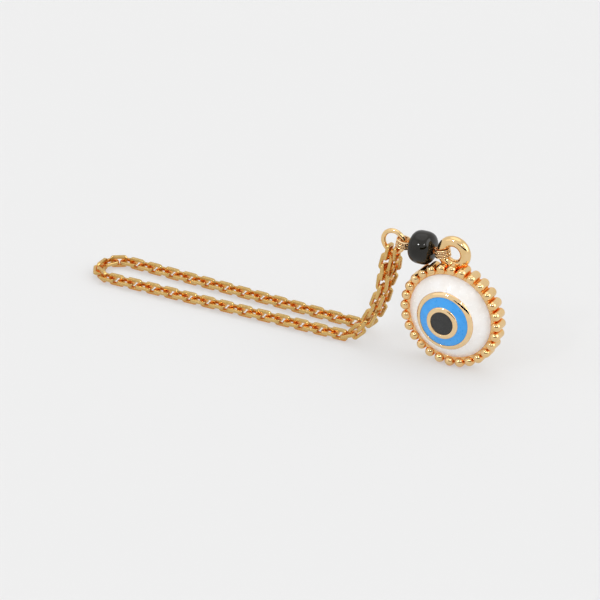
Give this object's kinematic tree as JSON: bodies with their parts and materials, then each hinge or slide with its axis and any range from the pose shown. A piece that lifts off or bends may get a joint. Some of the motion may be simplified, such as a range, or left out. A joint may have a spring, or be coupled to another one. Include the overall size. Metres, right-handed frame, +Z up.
{
  "type": "evil eye charm",
  "caption": "Round enamelled evil eye medallion with a beaded rim and bail, hung by a beaded connector and jump ring from a doubled cable chain.",
  "frame": {"origin": "on the floor, under the middle of the bounding box", "axes": "+X along the doubled chain towards the medallion, -Y out of the face of the eye, +Z up"},
  "size_m": [0.1106, 0.0134, 0.0322],
  "materials": {
    "gold_plate": "polished yellow gold plate",
    "white_enamel": "pearly white domed enamel",
    "blue_enamel": "glossy sky blue enamel",
    "pupil_enamel": "satin charcoal enamel",
    "black_glass": "opaque black glass, glossy"
  },
  "bodies": {
    "medallion": {"medallion_casting": "gold_plate", "white_enamel": "white_enamel", "blue_enamel": "blue_enamel", "pupil_enamel": "pupil_enamel", "medallion_bail": "gold_plate"},
    "connector": {"large_band_ring": "gold_plate", "bead_pin": "gold_plate", "small_band_ring": "gold_plate"},
    "bead": {"black_bead": "black_glass"},
    "jump_ring": {"jump_ring": "gold_plate"},
    "chain_top": {"chain_front_01": "gold_plate", "chain_front_02": "gold_plate", "chain_back_01": "gold_plate", "chain_back_02": "gold_plate"},
    "chain_03": {"chain_front_03": "gold_plate", "chain_back_03": "gold_plate"},
    "chain_04": {"chain_front_04": "gold_plate", "chain_back_04": "gold_plate"},
    "chain_05": {"chain_front_05": "gold_plate", "chain_back_05": "gold_plate"},
    "chain_06": {"chain_front_06": "gold_plate", "chain_back_06": "gold_plate"},
    "chain_07": {"chain_front_07": "gold_plate", "chain_back_07": "gold_plate"},
    "chain_08": {"chain_front_08": "gold_plate", "chain_back_08": "gold_plate"},
    "chain_09": {"chain_front_09": "gold_plate", "chain_back_09": "gold_plate"},
    "chain_10": {"chain_front_10": "gold_plate", "chain_back_10": "gold_plate"},
    "chain_11": {"chain_front_11": "gold_plate", "chain_back_11": "gold_plate"},
    "chain_12": {"chain_front_12": "gold_plate", "chain_back_12": "gold_plate"},
    "chain_13": {"chain_front_13": "gold_plate", "chain_back_13": "gold_plate"},
    "chain_14": {"chain_front_14": "gold_plate", "chain_back_14": "gold_plate"},
    "chain_15": {"chain_front_15": "gold_plate", "chain_back_15": "gold_plate"},
    "chain_16": {"chain_front_16": "gold_plate", "chain_back_16": "gold_plate"},
    "chain_17": {"chain_front_17": "gold_plate", "chain_back_17": "gold_plate"},
    "chain_18": {"chain_front_18": "gold_plate", "chain_back_18": "gold_plate"},
    "chain_end": {"chain_bend_1": "gold_plate", "chain_bend_2": "gold_plate", "chain_bend_3": "gold_plate", "chain_bend_4": "gold_plate"}
  },
  "joints": [
    {"name": "bail_pivot", "type": "hinge", "parent": "medallion", "child": "connector", "pos_m": [0.04173, 0.00038, 0.02794], "axis": [0, 1, 0], "range_deg": [0, 180]},
    {"name": "bead_spin", "type": "hinge", "parent": "connector", "child": "bead", "pos_m": [0.03371, 0.00038, 0.02751], "axis": [1, 0, 0], "continuous": true},
    {"name": "jump_ring_swivel", "type": "hinge", "parent": "connector", "child": "jump_ring", "pos_m": [0.02871, 0.00038, 0.02751], "axis": [0.2079, 0, 0.9781], "range_deg": [-40, 40]},
    {"name": "chain_swing", "type": "hinge", "parent": "jump_ring", "child": "chain_top", "pos_m": [0.02607, 0.00038, 0.02727], "axis": [0, 1, 0], "range_deg": [-5, 75]},
    {"name": "link_hinge_01", "type": "hinge", "parent": "chain_top", "child": "chain_03", "pos_m": [0.02412, 0.00038, 0.01571], "axis": [0, 1, 0], "range_deg": [-14, 12]},
    {"name": "link_hinge_02", "type": "hinge", "parent": "chain_03", "child": "chain_04", "pos_m": [0.02272, 0.00038, 0.01087], "axis": [0, -1, 0], "range_deg": [-12, 26]},
    {"name": "link_hinge_03", "type": "hinge", "parent": "chain_04", "child": "chain_05", "pos_m": [0.02072, 0.00038, 0.00625], "axis": [0, 1, 0], "range_deg": [-26, 12]},
    {"name": "link_hinge_04", "type": "hinge", "parent": "chain_05", "child": "chain_06", "pos_m": [0.0175, 0.00038, 0.00243], "axis": [0, -1, 0], "range_deg": [-3, 26]},
    {"name": "link_hinge_05", "type": "hinge", "parent": "chain_06", "child": "chain_07", "pos_m": [0.01265, 0.00038, 0.00151], "axis": [0, 1, 0], "range_deg": [-26, 26]},
    {"name": "link_hinge_06", "type": "hinge", "parent": "chain_07", "child": "chain_08", "pos_m": [0.00761, 0.00038, 0.00151], "axis": [0, -1, 0], "range_deg": [-26, 26]},
    {"name": "link_hinge_07", "type": "hinge", "parent": "chain_08", "child": "chain_09", "pos_m": [0.00257, 0.00038, 0.00151], "axis": [0, 1, 0], "range_deg": [-26, 26]},
    {"name": "link_hinge_08", "type": "hinge", "parent": "chain_09", "child": "chain_10", "pos_m": [-0.00247, 0.00038, 0.00151], "axis": [0, -1, 0], "range_deg": [-26, 26]},
    {"name": "link_hinge_09", "type": "hinge", "parent": "chain_10", "child": "chain_11", "pos_m": [-0.00751, 0.00038, 0.00151], "axis": [0, 1, 0], "range_deg": [-26, 26]},
    {"name": "link_hinge_10", "type": "hinge", "parent": "chain_11", "child": "chain_12", "pos_m": [-0.01255, 0.00038, 0.00151], "axis": [0, -1, 0], "range_deg": [-26, 26]},
    {"name": "link_hinge_11", "type": "hinge", "parent": "chain_12", "child": "chain_13", "pos_m": [-0.01759, 0.00038, 0.00151], "axis": [0, 1, 0], "range_deg": [-26, 26]},
    {"name": "link_hinge_12", "type": "hinge", "parent": "chain_13", "child": "chain_14", "pos_m": [-0.02263, 0.00038, 0.00151], "axis": [0, -1, 0], "range_deg": [-26, 26]},
    {"name": "link_hinge_13", "type": "hinge", "parent": "chain_14", "child": "chain_15", "pos_m": [-0.02767, 0.00038, 0.00151], "axis": [0, 1, 0], "range_deg": [-26, 26]},
    {"name": "link_hinge_14", "type": "hinge", "parent": "chain_15", "child": "chain_16", "pos_m": [-0.03271, 0.00038, 0.00151], "axis": [0, -1, 0], "range_deg": [-26, 26]},
    {"name": "link_hinge_15", "type": "hinge", "parent": "chain_16", "child": "chain_17", "pos_m": [-0.03775, 0.00038, 0.00151], "axis": [0, 1, 0], "range_deg": [-26, 26]},
    {"name": "link_hinge_16", "type": "hinge", "parent": "chain_17", "child": "chain_18", "pos_m": [-0.04279, 0.00038, 0.00151], "axis": [0, -1, 0], "range_deg": [-26, 26]},
    {"name": "link_hinge_17", "type": "hinge", "parent": "chain_18", "child": "chain_end", "pos_m": [-0.04783, 0.00038, 0.00151], "axis": [0, 1, 0], "range_deg": [-26, 26]}
  ]
}
